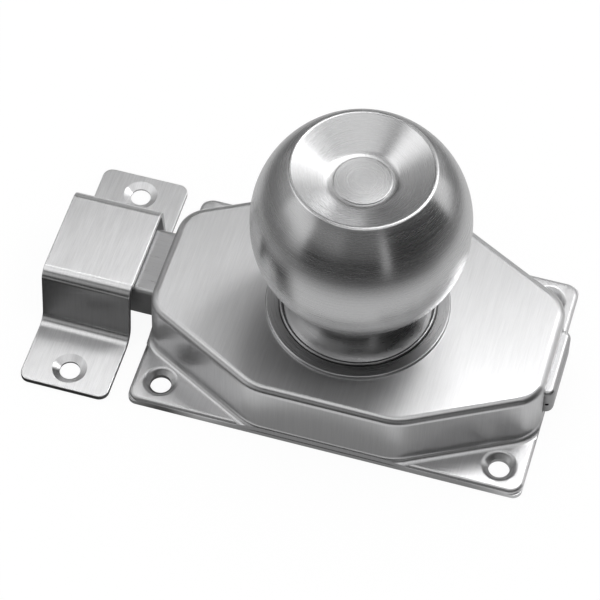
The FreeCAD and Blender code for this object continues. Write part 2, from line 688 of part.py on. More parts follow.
def detent_notch(x):
    """What is cut from the bar's underside for the spring's nose to drop into."""
    half = LEAF_WIDTH / 2 + NOTCH_SIDE_CLEARANCE
    corners = (
        (x - NOTCH_HALF_WIDTH, BOLT_UNDERSIDE),
        (x, BOLT_UNDERSIDE + NOTCH_DEPTH),
        (x + NOTCH_HALF_WIDTH, BOLT_UNDERSIDE),
        (x, BOLT_UNDERSIDE - NOTCH_DEPTH),
    )
    wire = sharp_path([Vector(px, -half, pz) for px, pz in corners])
    return Part.Face(wire).extrude(Vector(0, 2 * half, 0))


def bar_blank(top):
    """The bar at one thickness over its whole length, with rounded corners and edges."""
    length, middle = BOLT_TAIL - BOLT_NOSE, (BOLT_TAIL + BOLT_NOSE) / 2
    bar = rounded_block(length, BOLT_WIDTH, BOLT_CORNER_RADIUS, BOLT_UNDERSIDE, top, middle)
    rims = [e for e in bar.Edges if abs(e.Vertexes[0].Z - e.Vertexes[-1].Z) < NEAR]
    return bar.makeFillet(BOLT_EDGE_RADIUS, rims)


def bolt_bar():
    """The bar that slides: a thick head, a thinner slide with the rack window, and two detent
    notches underneath."""
    head_room = Part.makeBox(BEYOND, BEYOND, BEYOND, Vector(HEAD_END - BEYOND, -BEYOND / 2, 0))
    slide_room = Part.makeBox(BEYOND, BEYOND, BEYOND, Vector(HEAD_END, -BEYOND / 2, 0))
    head = bar_blank(HEAD_TOP).common(head_room)
    slide = bar_blank(SLIDE_TOP).common(slide_room)
    bar = head.fuse(slide).removeSplitter().cut(rack_window())
    for x in (DETENT_PLACE, DETENT_PLACE - THROW):
        bar = bar.cut(detent_notch(x))
    hole_start = Vector(
        BOLT_TAIL - TAIL_HOLE_INSET, -BOLT_WIDTH / 2 - 1, BOLT_UNDERSIDE + TAIL_HOLE_HEIGHT
    )
    depth = TAIL_HOLE_DEPTH + 1
    return bar.cut(Part.makeCylinder(TAIL_HOLE_RADIUS, depth, hole_start, Vector(0, 1, 0)))


def collar():
    """The turned collar in the cover's top, with the recess that the knob's neck turns in."""
    points = [
        Vector(HUB_BORE_RADIUS, 0, COLLAR_UNDERSIDE),
        Vector(COLLAR_BODY_RADIUS, 0, COLLAR_UNDERSIDE),
        Vector(COLLAR_BODY_RADIUS, 0, COVER_HEIGHT),
        Vector(COLLAR_FLANGE_RADIUS, 0, COVER_HEIGHT),
        Vector(COLLAR_FLANGE_RADIUS, 0, COLLAR_TOP),
        Vector(COLLAR_RECESS_RADIUS, 0, COLLAR_TOP),
        Vector(COLLAR_RECESS_RADIUS, 0, COLLAR_FLOOR),
        Vector(HUB_BORE_RADIUS, 0, COLLAR_FLOOR),
    ]
    return turned(closed_path(points, [0, 0, 0, 0, COLLAR_EDGE_RADIUS, 0, 0, 0]))


def collar_lock_ring():
    """The ring that holds the collar from inside the cover."""
    inner = LOCK_RING_RADIUS - LOCK_RING_WIDTH
    return tube(LOCK_RING_RADIUS, inner, CEILING - LOCK_RING_THICKNESS, CEILING)


def thrust_washer():
    """The thin washer on the collar's floor that the knob turns on."""
    return tube(NECK_BEAD_RADIUS, HUB_BORE_RADIUS, COLLAR_FLOOR, WASHER_TOP)


def neck_curve():
    """The neck's cove: its radius, its centre in the XZ plane, and the angle that it turns."""
    out = NECK_BEAD_RADIUS - NECK_BEAD_WIDTH - NECK_RADIUS
    rise = NECK_HEIGHT - NECK_FOOT_HEIGHT
    angle = 2 * math.atan2(out, rise)
    radius = rise / math.sin(angle)
    return radius, Vector(NECK_RADIUS + radius, 0, NECK_TOP), angle


def on_curve(radius, centre, angle):
    """A point of a cove, at an angle down from its top."""
    return centre - Vector(radius * math.cos(angle), 0, radius * math.sin(angle))


def hub_flange_radius():
    """The hub flange's radius: the inside of the neck at the flange's top."""
    radius, centre, _ = neck_curve()
    drop = NECK_HEIGHT - HUB_FLANGE_THICKNESS
    return centre.x - math.sqrt((radius + NECK_SHEET) ** 2 - drop**2)


def knob_neck():
    """The flared neck: a tube up into the ball, a cove, and a bead that turns in the collar."""
    outer, centre, angle = neck_curve()
    inner = outer + NECK_SHEET
    inner_angle = math.asin((NECK_HEIGHT - HUB_FLANGE_THICKNESS) / inner)
    tube_top = NECK_TOP + NECK_TUBE_LENGTH
    flange_edge = hub_flange_radius()
    foot = on_curve(outer, centre, angle)
    bead = Vector(NECK_BEAD_RADIUS, 0, foot.z)
    bead_top = Vector((foot.x + NECK_BEAD_RADIUS) / 2, 0, foot.z + NECK_BEAD_RISE)
    outer_top = Vector(NECK_RADIUS, 0, NECK_TOP)
    inner_top = Vector(NECK_BORE_RADIUS, 0, NECK_TOP)
    inner_foot = on_curve(inner, centre, inner_angle)
    straight = (
        bead,
        Vector(NECK_BEAD_RADIUS, 0, NECK_SEAT),
        Vector(flange_edge, 0, NECK_SEAT),
        inner_foot,
    )
    above = (
        inner_top,
        Vector(NECK_BORE_RADIUS, 0, tube_top),
        Vector(NECK_RADIUS, 0, tube_top),
        outer_top,
    )
    edges = [
        Part.Arc(outer_top, on_curve(outer, centre, angle / 2), foot).toShape(),
        Part.Arc(foot, bead_top, bead).toShape(),
    ]
    edges += [Part.LineSegment(a, b).toShape() for a, b in zip(straight, straight[1:])]
    edges.append(Part.Arc(inner_foot, on_curve(inner, centre, inner_angle / 2), inner_top).toShape())
    edges += [Part.LineSegment(a, b).toShape() for a, b in zip(above, above[1:])]
    return turned(Part.Wire(edges))


def hub_pin():
    """The cross pin that ties shaft and hub."""
    half = NECK_BORE_RADIUS - HUB_CHAMFER
    start = Vector(-half, 0, NECK_TOP - HUB_PIN_DROP)
    return Part.makeCylinder(HUB_PIN_RADIUS, 2 * half, start, Vector(1, 0, 0))


def knob_hub():
    """The turned hub inside the neck: journal, flange, retaining groove and square bore."""
    flange_top = NECK_SEAT + HUB_FLANGE_THICKNESS
    profile = (
        (0, HUB_UNDERSIDE),
        (HUB_RADIUS, HUB_UNDERSIDE),
        (HUB_RADIUS, RETAINER_LOW),
        (RETAINER_GROOVE_RADIUS, RETAINER_LOW),
        (RETAINER_GROOVE_RADIUS, RETAINER_HIGH),
        (HUB_RADIUS, RETAINER_HIGH),
        (HUB_RADIUS, NECK_SEAT),
        (hub_flange_radius(), NECK_SEAT),
        (hub_flange_radius(), flange_top),
        (NECK_BORE_RADIUS, flange_top),
        (NECK_BORE_RADIUS, HUB_TOP - HUB_CHAMFER),
        (NECK_BORE_RADIUS - HUB_CHAMFER, HUB_TOP),
        (0, HUB_TOP),
    )
    hub = turned(sharp_path([Vector(radius, 0, height) for radius, height in profile]))
    bore = square_bar(SHAFT_SQUARE + 2 * ASSEMBLY_CLEARANCE, HUB_UNDERSIDE - 1, HUB_TOP + 1)
    return hub.cut(bore).cut(hub_pin())


def retaining_ring():
    """The open ring in the hub's groove, under the collar."""
    outer = HUB_RADIUS + RETAINER_PROUD
    ring = tube(outer, RETAINER_GROOVE_RADIUS, RETAINER_LOW, RETAINER_HIGH)
    spread = BEYOND * math.tan(math.radians(RETAINER_GAP_DEG / 2))
    corners = ((0, 0), (BEYOND, -spread), (BEYOND, spread))
    wedge = sharp_path([Vector(x, y, RETAINER_LOW) for x, y in corners])
    return ring.cut(raised(wedge, RETAINER_THICKNESS))


def edges_at(solid, point):
    """The round edges of a turned solid that pass through a point of its profile."""
    found = []
    for edge in solid.Edges:
        ends = [(math.hypot(v.X, v.Y), v.Z) for v in edge.Vertexes]
        if all(abs(r - point.x) < NEAR and abs(z - point.z) < NEAR for r, z in ends):
            found.append(edge)
    return found


def ball_solid(sheet_in):
    """The ball with its dished face as one solid, moved in by sheet_in."""
    radius = BALL_RADIUS - sheet_in
    rim_height = math.sqrt(BALL_RADIUS**2 - FACE_RIM_RADIUS**2)
    slope = FACE_DEPTH / (FACE_RIM_RADIUS - FACE_FLAT_RADIUS)
    flat_height = rim_height - FACE_DEPTH - sheet_in
    flat_radius = FACE_FLAT_RADIUS + sheet_in * math.tan(math.atan(slope) / 2)
    level = flat_height - slope * flat_radius
    reach = math.sqrt((slope * level) ** 2 - (1 + slope**2) * (level**2 - radius**2))
    rim_radius = (reach - slope * level) / (1 + slope**2)
    rim = Vector(rim_radius, 0, BALL_CENTRE + level + slope * rim_radius)
    flat = Vector(flat_radius, 0, BALL_CENTRE + flat_height)
    middle = Vector(0, 0, flat.z)
    low_centre = BALL_CENTRE - BALL_BAND
    bottom = Vector(0, 0, low_centre - radius)
    band_low, band_high = Vector(radius, 0, low_centre), Vector(radius, 0, BALL_CENTRE)
    lower = Vector(radius * HALF_ROOT, 0, low_centre - radius * HALF_ROOT)
    tilt = math.atan2(rim.z - BALL_CENTRE, rim.x) / 2
    upper = Vector(radius * math.cos(tilt), 0, BALL_CENTRE + radius * math.sin(tilt))
    edges = [
        Part.Arc(bottom, lower, band_low).toShape(),
        Part.LineSegment(band_low, band_high).toShape(),
        Part.Arc(band_high, upper, rim).toShape(),
    ]
    corners = (rim, flat, middle, bottom)
    edges += [Part.LineSegment(a, b).toShape() for a, b in zip(corners, corners[1:])]
    solid = turned(Part.Wire(edges))
    solid = solid.makeFillet(FACE_RIM_ROUND, edges_at(solid, rim))
    solid = solid.makeFillet(FACE_BLEND_RADIUS, edges_at(solid, flat))
    disc = cylinder(FACE_DISC_RADIUS - sheet_in, BALL_CENTRE, flat.z + FACE_DISC_RISE)
    edge = edges_at(disc, Vector(FACE_DISC_RADIUS - sheet_in, 0, flat.z + FACE_DISC_RISE))
    return solid.fuse(disc.makeFillet(FACE_DISC_ROUND, edge)).removeSplitter()


def knob_ball():
    """The hollow ball: one drawn shell with a dished face, open at the neck."""
    opening = cylinder(NECK_RADIUS, NECK_SEAT, NECK_TOP + NECK_TUBE_LENGTH)
    return ball_solid(0).cut(ball_solid(BALL_SHEET)).cut(opening)


def keeper_hole(y):
    """A countersunk hole in a foot of the keeper, before the keeper is put in its place."""
    wide = KEEPER_HOLE_RADIUS + KEEPER_COUNTERSINK_WIDTH
    place = Vector(KEEPER_MIDDLE, y, KEEPER_SHEET - KEEPER_COUNTERSINK_DEPTH)
    cone = Part.makeCone(KEEPER_HOLE_RADIUS, wide, KEEPER_COUNTERSINK_DEPTH, place, UP)
    return cone.fuse(cylinder(KEEPER_HOLE_RADIUS, -1, KEEPER_SHEET, KEEPER_MIDDLE, y))


def keeper():
    """The keeper: a strap bent over the bolt, with a countersunk hole in each foot. It is
    screwed on by itself, and stands a little off the bolt's middle line."""
    wall = BOLT_WIDTH / 2 + KEEPER_SIDE_CLEARANCE + KEEPER_SHEET / 2
    low = KEEPER_SHEET / 2
    high = HEAD_TOP + KEEPER_TOP_CLEARANCE + KEEPER_SHEET / 2
    half = ((-KEEPER_LENGTH / 2, low), (-wall - KEEPER_WALL_SPLAY, low), (-wall, high))
    line = half + tuple((-y, z) for y, z in half[::-1])
    start = KEEPER_MIDDLE - KEEPER_WIDTH / 2
    bends = [KEEPER_FOOT_BEND, KEEPER_TOP_BEND, KEEPER_TOP_BEND, KEEPER_FOOT_BEND]
    wire = bent_strip(line, bends, KEEPER_SHEET, lambda y, z: Vector(start, y, z))
    strap = Part.Face(wire).extrude(Vector(KEEPER_WIDTH, 0, 0))
    top = high + KEEPER_SHEET
    plan = rounded_block(KEEPER_WIDTH, KEEPER_LENGTH, KEEPER_CORNER_RADIUS, 0, top, KEEPER_MIDDLE)
    strap = strap.common(plan).removeSplitter()
    ends = (start, start + KEEPER_WIDTH)
    rims = [
        e for e in strap.Edges if any(all(abs(v.X - end) < NEAR for v in e.Vertexes) for end in ends)
    ]
    strap = strap.makeFillet(KEEPER_EDGE_RADIUS, rims)
    for side in (-1, 1):
        strap = strap.cut(keeper_hole(side * (KEEPER_LENGTH / 2 - KEEPER_HOLE_INSET)))
    strap = strap.removeSplitter()
    strap.translate(Vector(0, KEEPER_SIDEWAYS, 0))
    return strap


def all_parts():
    """Every piece by name."""
    parts = {
        "case_cover": case_cover(),
        "back_plate": back_plate(),
        "cover_pillars": cover_pillars(),
        "cover_screws": cover_screws(),
        "guide_rivets": guide_rivets(),
        "detent_spring": detent_spring(),
        "detent_rivets": detent_rivets(),
        "shaft_bush": shaft_bush(),
        "collar": collar(),
        "collar_lock_ring": collar_lock_ring(),
        "thrust_washer": thrust_washer(),
        "keeper": keeper(),
        "bolt_bar": bolt_bar(),
        "pinion_shaft": pinion_shaft(),
        "knob_hub": knob_hub(),
        "hub_pin": hub_pin(),
        "retaining_ring": retaining_ring(),
        "knob_neck": knob_neck(),
        "knob_ball": knob_ball(),
    }
    for side, middle, bar_top in (
        ("left", -GUIDE_REACH, HEAD_TOP),
        ("right", GUIDE_REACH, SLIDE_TOP),
    ):
        parts["bolt_guide_" + side] = bolt_guide(middle, bar_top)
        parts["slide_pad_" + side] = slide_pad(middle)
    return parts


os.makedirs("parts", exist_ok=True)
for name, shape in all_parts().items():
    shape.exportStep(os.path.join("parts", name + ".step"))
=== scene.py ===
"""The looks of a surface-mounted gate bolt: a pressed steel case with a turning ball knob, a flat
bolt and a strap keeper.

Everything is in metres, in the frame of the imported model: +Z out of the gate, the origin in the
mounting plane on the knob's axis, and the bolt thrown towards -X.
"""

from __future__ import annotations

import logging
import math
from collections.abc import Callable, Mapping
from dataclasses import dataclass, field
from enum import Enum

import bpy
from mathutils import Matrix, Vector


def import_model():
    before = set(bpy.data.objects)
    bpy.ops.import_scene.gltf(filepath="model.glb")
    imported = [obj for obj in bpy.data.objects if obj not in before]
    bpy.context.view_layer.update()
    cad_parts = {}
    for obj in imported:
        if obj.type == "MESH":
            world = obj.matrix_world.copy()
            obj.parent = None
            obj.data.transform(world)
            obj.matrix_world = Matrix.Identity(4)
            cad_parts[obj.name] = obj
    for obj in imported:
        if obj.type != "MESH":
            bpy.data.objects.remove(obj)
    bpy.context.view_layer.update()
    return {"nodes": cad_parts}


LOG = logging.getLogger("gate_bolt")
MM = 0.001
ALL_ROUND = (-200, 200)

Color = tuple[float, float, float]
Socket = bpy.types.NodeSocket
Sockets = Mapping[str, Socket]


class Grain(Enum):
    """The way the last tool ran over a surface."""

    ALONG_Y = "along_y"
    ALONG_X = "along_x"
    ROUND_Z = "round_z"


class Sheet:
    """A node tree with short ways to add nodes and join them."""

    color_mix_inputs = (0, 6, 7)
    color_mix_output = 2

    def __init__(self, tree: bpy.types.NodeTree) -> None:
        """Take the tree to work on: that of a material, a world or a group."""
        self.tree = tree

    def add(self, kind: str, **settings: object) -> bpy.types.Node:
        """Add one node.

        Args:
            kind: The node's type name.
            settings: Properties of the node to set.

        Returns:
            The new node.
        """
        node = self.tree.nodes.new(kind)
        for name, value in settings.items():
            setattr(node, name, value)
        return node

    def feed(self, target: Socket, value: object) -> None:
        """Join a socket to an input, or set the input to a plain value.

        Args:
            target: The input socket.
            value: An output socket, a number or a vector.
        """
        if isinstance(value, Socket):
            self.tree.links.new(value, target)
        else:
            target.default_value = value

    def feed_named(self, node: bpy.types.Node, values: dict[str, object]) -> bpy.types.Node:
        """Feed some inputs of a node by their names.

        Args:
            node: The node.
            values: An output socket or a plain value for each input.

        Returns:
            The same node.
        """
        for name, value in values.items():
            self.feed(node.inputs[name], value)
        return node

    def first_output(self, kind: str, *values: object, **settings: object) -> Socket:
        """Add a node, feed its inputs in their order and give its first output.

        Args:
            kind: The node's type name.
            values: What its first inputs get.
            settings: Properties of the node to set.

        Returns:
            The node's first output.
        """
        node = self.add(kind, **settings)
        for target, value in zip(node.inputs, values):
            self.feed(target, value)
        return node.outputs[0]

    def math(self, operation: str, *values: object) -> Socket:
        """Work out one number from others."""
        return self.first_output("ShaderNodeMath", *values, operation=operation)

    def vector(self, operation: str, *values: object) -> Socket:
        """Work out one vector from others."""
        return self.first_output("ShaderNodeVectorMath", *values, operation=operation)

    def combine(self, x: object, y: object, z: object) -> Socket:
        """Put three numbers together as a vector."""
        return self.first_output("ShaderNodeCombineXYZ", x, y, z)

    def split(self, vector: Socket) -> Sockets:
        """Take a vector apart.

        Args:
            vector: The vector.

        Returns:
            Its three parts.
        """
        parts = self.add("ShaderNodeSeparateXYZ")
        self.feed(parts.inputs[0], vector)
        return parts.outputs

    def from_axis(self, position: Socket) -> Socket:
        """Measure how far a place is from the knob's axis.

        Args:
            position: The place.

        Returns:
            The distance.
        """
        length = self.add("ShaderNodeVectorMath", operation="LENGTH")
        self.feed(length.inputs[0], self.vector("MULTIPLY", position, (1.0, 1.0, 0.0)))
        return length.outputs["Value"]

    def spread(self, value: Socket, low: float, high: float) -> Socket:
        """Map a number from 0..1 to another range.

        Args:
            value: The number.
            low: The result at 0.
            high: The result at 1.

        Returns:
            The mapped number.
        """
        ends = {"Value": value, "To Min": low, "To Max": high}
        return self.feed_named(self.add("ShaderNodeMapRange"), ends).outputs["Result"]

    def sharpen(self, value: Socket, low: float, high: float) -> Socket:
        """Draw a part of a range out to 0..1, with soft ends.

        Args:
            value: The number.
            low: What becomes 0.
            high: What becomes 1.

        Returns:
            The number with more contrast.
        """
        ends = {"Value": value, "From Min": low, "From Max": high}
        node = self.add("ShaderNodeMapRange", interpolation_type="SMOOTHSTEP")
        return self.feed_named(node, ends).outputs["Result"]

    def noise(self, place: Socket, detail: float, roughness: float = 0.5) -> Socket:
        """Add a noise texture.

        Args:
            place: Where to read the noise, already in its own scale.
            detail: How many finer layers it has.
            roughness: How strong the finer layers are.

        Returns:
            The noise, from 0 to 1.
        """
        values = {"Vector": place, "Scale": 1.0, "Detail": detail, "Roughness": roughness}
        return self.feed_named(self.add("ShaderNodeTexNoise"), values).outputs[0]

    def vary(self, mask: Socket, color: Color, change: float) -> Socket:
        """Let a colour change over a surface.

        Args:
            mask: 0 in the darkest places and 1 in the lightest.
            color: The mean colour.
            change: How much darker and lighter it gets, as a share.

        Returns:
            The colour.
        """
        darker = (*(part * (1 - change) for part in color), 1.0)
        lighter = (*(min(part * (1 + change), 1) for part in color), 1.0)
        mix = self.add("ShaderNodeMix", data_type="RGBA")
        for place, value in zip(self.color_mix_inputs, (mask, darker, lighter)):
            self.feed(mix.inputs[place], value)
        return mix.outputs[self.color_mix_output]

    def group(self, tree: bpy.types.NodeTree, values: dict[str, object]) -> Sockets:
        """Place a node group.

        Args:
            tree: The group.
            values: What its inputs get.

        Returns:
            Its outputs.
        """
        return self.feed_named(self.add("ShaderNodeGroup", node_tree=tree), values).outputs

    def shown(self) -> Socket:
        """Tell the rays that show a background: the camera's, and those off mirrors or through glass.

        Returns:
            1 for those rays and 0 for the rest.
        """
        path = self.add("ShaderNodeLightPath").outputs
        straight = self.math("MAXIMUM", path["Is Camera Ray"], path["Is Glossy Ray"])
        return self.math("MAXIMUM", straight, path["Is Transmission Ray"])


@dataclass(frozen=True)
class Port:
    """One socket of a node group.

    Fields:
        name: Its name.
        kind: Its socket type.
        default: Its value where nothing feeds it, or None for the type's own.
    """

    name: str
    kind: str = "NodeSocketFloat"
    default: float | None = None


@dataclass(frozen=True)
class GroupPlan:
    """A shader node group that is built once and placed in many materials.

    Fields:
        name: The group's name.
        inputs: Its inputs.
        outputs: Its outputs.
        fill: Adds its nodes, given a sheet, the inputs' sockets and the outputs' sockets.
    """

    name: str
    inputs: tuple[Port, ...]
    outputs: tuple[Port, ...]
    fill: Callable[[Sheet, Sockets, Sockets], None]

    def tree(self) -> bpy.types.NodeTree:
        """Build the group, or find it if it was built before.

        Returns:
            The group's node tree.
        """
        known = bpy.data.node_groups.get(self.name)
        if known is not None:
            return known
        tree = bpy.data.node_groups.new(self.name, "ShaderNodeTree")
        for ports, side in ((self.inputs, "INPUT"), (self.outputs, "OUTPUT")):
            for port in ports:
                socket = tree.interface.new_socket(port.name, in_out=side, socket_type=port.kind)
                if port.default is not None:
                    socket.default_value = port.default
        sheet = Sheet(tree)
        self.fill(sheet, sheet.add("NodeGroupInput").outputs, sheet.add("NodeGroupOutput").inputs)
        return tree


def fill_tool_lines(sheet: Sheet, given: Sockets, result: Sockets) -> None:
    """Draw the fine parallel lines that a belt or a turning tool leaves, and broad streaks of them.

    Args:
        sheet: The group's sheet.
        given: Place, whose x runs across the lines, Line Width and Line Length.
        result: Fine and Broad, from 0 to 1.
    """
    streak_width, streak_length = 9.0, 2.5
    fine_contrast, broad_contrast = (0.32, 0.68), (0.25, 0.75)
    width, length = given["Line Width"], given["Line Length"]
    fine_place = sheet.vector("DIVIDE", given["Place"], sheet.combine(width, length, length))
    wide = sheet.math("MULTIPLY", width, streak_width)
    long = sheet.math("MULTIPLY", length, streak_length)
    broad_place = sheet.vector("DIVIDE", given["Place"], sheet.combine(wide, long, long))
    fine = sheet.noise(fine_place, detail=3.0, roughness=0.65)
    broad = sheet.noise(broad_place, detail=2.0)
    sheet.feed(result["Fine"], sheet.sharpen(fine, *fine_contrast))
    sheet.feed(result["Broad"], sheet.sharpen(broad, *broad_contrast))


def fill_turned_place(sheet: Sheet, given: Sockets, result: Sockets) -> None:
    """Unroll a place round the knob's axis, so that its x runs across the marks of turning.

    Args:
        sheet: The group's sheet.
        given: Position, the place on the object.
        result: Place.
    """
    climb = 1.3
    x, y, z = sheet.split(given["Position"])
    outwards = sheet.from_axis(given["Position"])
    across = sheet.math("ADD", outwards, sheet.math("MULTIPLY", z, climb))
    sheet.feed(result["Place"], sheet.combine(across, x, y))


def fill_smudges(sheet: Sheet, given: Sockets, result: Sockets) -> None:
    """Draw soft uneven patches, as from handling.

    Args:
        sheet: The group's sheet.
        given: Position and Patch Size.
        result: Mask, from 0 to 1.
    """
    size = given["Patch Size"]
    place = sheet.vector("DIVIDE", given["Position"], sheet.combine(size, size, size))
    sheet.feed(result["Mask"], sheet.noise(place, detail=4.0, roughness=0.55))


def fill_facing(sheet: Sheet, given: Sockets, result: Sockets) -> None:
    """Tell upright faces and faces that look down from the rest, to place painted shade.

    Args:
        sheet: The group's sheet.
        given: Normal.
        result: Upright and Down, each from 0 to 1.
    """
    upright_rise, flat_rise = 0.25, 0.6
    down_starts, down_full = 0.57, 0.7
    rise = sheet.split(given["Normal"])["Z"]
    flat = sheet.sharpen(sheet.math("ABSOLUTE", rise), upright_rise, flat_rise)
    fall = sheet.math("MULTIPLY", rise, -1.0)
    sheet.feed(result["Upright"], sheet.math("SUBTRACT", 1.0, flat))
    sheet.feed(result["Down"], sheet.sharpen(fall, down_starts, down_full))


class Groups:
    """The node groups that several finishes share."""

    TOOL_LINES = GroupPlan(
        "tool_lines",
        (
            Port("Place", "NodeSocketVector"),
            Port("Line Width", default=0.1 * MM),
            Port("Line Length", default=6.0 * MM),
        ),
        (Port("Fine"), Port("Broad")),
        fill_tool_lines,
    )
    TURNED_PLACE = GroupPlan(
        "turned_place",
        (Port("Position", "NodeSocketVector"),),
        (Port("Place", "NodeSocketVector"),),
        fill_turned_place,
    )
    SMUDGES = GroupPlan(
        "smudges",
        (Port("Position", "NodeSocketVector"), Port("Patch Size", default=12.0 * MM)),
        (Port("Mask"),),
        fill_smudges,
    )
    FACING = GroupPlan(
        "facing",
        (Port("Normal", "NodeSocketVector"),),
        (Port("Upright"), Port("Down")),
        fill_facing,
    )


@dataclass(frozen=True)
class Finish:
    """What all finishes have.

    Fields:
        name: The material's name.
        color: The colour of the bare metal or plastic.
        roughness: Its mean roughness.
    """

    name: str
    color: Color
    roughness: float

    def material(self) -> bpy.types.Material:
        """Build the material, or find it if it was built before.

        Returns:
            The material.
        """
        known = bpy.data.materials.get(self.name)
        if known is not None:
            return known
        material = bpy.data.materials.new(self.name)
        material.use_nodes = True
        sheet = Sheet(material.node_tree)
        position = sheet.add("ShaderNodeTexCoord").outputs["Object"]
        sheet.feed_named(material.node_tree.nodes["Principled BSDF"], self.surface(sheet, position))
        return material

    def surface(self, sheet: Sheet, position: Socket) -> dict[str, object]:
        """Work out what the shader's inputs get.

        Args:
            sheet: The material's sheet.
            position: The place on the object.

        Returns:
            A socket or a plain value for each input by its name.
        """
        raise NotImplementedError


@dataclass(frozen=True)
class SteelFinish(Finish):
    """A steel surface with the marks of its last tool.

    Fields:
        grain: The way the marks run.
        spread: How much the roughness changes over the marks.
        tint: How much the colour changes over the marks, as a share.
        depth: The depth of the marks.
        line_width: How far apart the marks are.
        line_length: How long one mark is.
        stretch: How far highlights are drawn out across the marks.
        calm_radius: Within this distance of the axis, turned marks draw highlights out less.
        upright_share: How much of its colour the metal keeps on upright faces; the rest is painted
            shade.
        under_share: How much of its colour it keeps on faces that look down; the rest is painted
            shade.
        fine_share: What the fine lines add to the pattern of colour and roughness.
        broad_share: What the broad streaks add to it. Smudges make up the rest.
    """

    grain: Grain = Grain.ROUND_Z
    spread: float = 0.12
    tint: float = 0.1
    depth: float = 0.004 * MM
    line_width: float = 0.12 * MM
    line_length: float = 7.0 * MM
    stretch: float = 0.6
    calm_radius: float = 9.0 * MM
    upright_share: float = 1.0
    under_share: float = 1.0
    fine_share: float = 0.55
    broad_share: float = 0.3

    def surface(self, sheet: Sheet, position: Socket) -> dict[str, object]:
        """Work out what the shader's inputs get.

        Args:
            sheet: The material's sheet.
            position: The place on the object.

        Returns:
            A socket or a plain value for each input by its name.
        """
        marks = self.marks(sheet, position)
        smudge = sheet.group(Groups.SMUDGES.tree(), {"Position": position})["Mask"]
        smudge_share = 1 - self.fine_share - self.broad_share
        pattern = sheet.math("MULTIPLY", marks["Fine"], self.fine_share)
        pattern = sheet.math("MULTIPLY_ADD", marks["Broad"], self.broad_share, pattern)
        pattern = sheet.math("MULTIPLY_ADD", smudge, smudge_share, pattern)
        low, high = self.roughness - self.spread, self.roughness + self.spread
        relief = {"Strength": 1.0, "Distance": self.depth, "Height": marks["Fine"]}
        inputs = {
            "Base Color": self.painted_shade(sheet, sheet.vary(pattern, self.color, self.tint)),
            "Roughness": sheet.spread(pattern, low, high),
            "Metallic": 1.0,
            "Normal": sheet.feed_named(sheet.add("ShaderNodeBump"), relief).outputs[0],
        }
        return inputs | self.sheen(sheet, position)

    def marks(self, sheet: Sheet, position: Socket) -> Sockets:
        """Add the marks of the last tool.

        Args:
            sheet: The material's sheet.
            position: The place on the object.

        Returns:
            The sockets Fine and Broad.
        """
        place = position
        if self.grain is Grain.ALONG_X:
            x, y, z = sheet.split(position)
            place = sheet.combine(sheet.math("ADD", y, z), x, z)
        elif self.grain is Grain.ROUND_Z:
            place = sheet.group(Groups.TURNED_PLACE.tree(), {"Position": position})["Place"]
        sizes = {"Line Width": self.line_width, "Line Length": self.line_length}
        return sheet.group(Groups.TOOL_LINES.tree(), {"Place": place} | sizes)

    def painted_shade(self, sheet: Sheet, color: Socket) -> Socket:
        """Paint shade into the colour: darken upright faces and faces that look down.

        Args:
            sheet: The material's sheet.
            color: The metal's colour.

        Returns:
            The colour for the shader.
        """
        if self.upright_share == 1.0 and self.under_share == 1.0:
            return color
        # Painted shade: the colour is scaled down on upright faces and on faces that look down.
        normal = sheet.add("ShaderNodeNewGeometry").outputs["Normal"]
        masks = sheet.group(Groups.FACING.tree(), {"Normal": normal})
        upright = sheet.spread(masks["Upright"], 1.0, self.upright_share)
        under = sheet.spread(masks["Down"], 1.0, self.under_share)
        scaled = sheet.add("ShaderNodeVectorMath", operation="SCALE")
        sheet.feed(scaled.inputs[0], color)
        sheet.feed(scaled.inputs["Scale"], sheet.math("MULTIPLY", upright, under))
        return scaled.outputs[0]

    def sheen(self, sheet: Sheet, position: Socket) -> dict[str, object]:
        """Draw the highlights out across the marks.

        Args:
            sheet: The material's sheet.
            position: The place on the object.

        Returns:
            What the shader's inputs for it get.
        """
        if self.grain is Grain.ROUND_Z:
            quarter_turn = 0.25
            outwards = sheet.sharpen(sheet.from_axis(position), 0.0, self.calm_radius)
            tangent = sheet.add("ShaderNodeTangent", direction_type="RADIAL", axis="Z")
            return {
                "Anisotropic": sheet.math("MULTIPLY", outwards, self.stretch),
                "Anisotropic Rotation": quarter_turn,
                "Tangent": tangent.outputs[0],
            }
        across = (1.0, 0.0, 0.0) if self.grain is Grain.ALONG_Y else (0.0, 1.0, 0.0)
        return {"Anisotropic": self.stretch, "Tangent": sheet.combine(*across)}


@dataclass(frozen=True)
class PlainFinish(Finish):
    """A hidden or dark surface with a soft uneven tone.

    Fields:
        metal: Whether it is bare metal.
        patch_size: How large its uneven patches are.
        tint: How much the colour changes over them, as a share.
        spread: How much the roughness changes over them, as a share.
    """

    metal: bool = False
    patch_size: float = 3.0 * MM
    tint: float = 0.15
    spread: float = 0.2

    def surface(self, sheet: Sheet, position: Socket) -> dict[str, object]:
        """Work out what the shader's inputs get.

        Args:
            sheet: The material's sheet.
            position: The place on the object.

        Returns:
            A socket or a plain value for each input by its name.
        """
        values = {"Position": position, "Patch Size": self.patch_size}
        mask = sheet.group(Groups.SMUDGES.tree(), values)["Mask"]
        low, high = self.roughness * (1 - self.spread), self.roughness * (1 + self.spread)
        return {
            "Base Color": sheet.vary(mask, self.color, self.tint),
            "Roughness": sheet.spread(mask, low, high),
            "Metallic": 1.0 if self.metal else 0.0,
        }


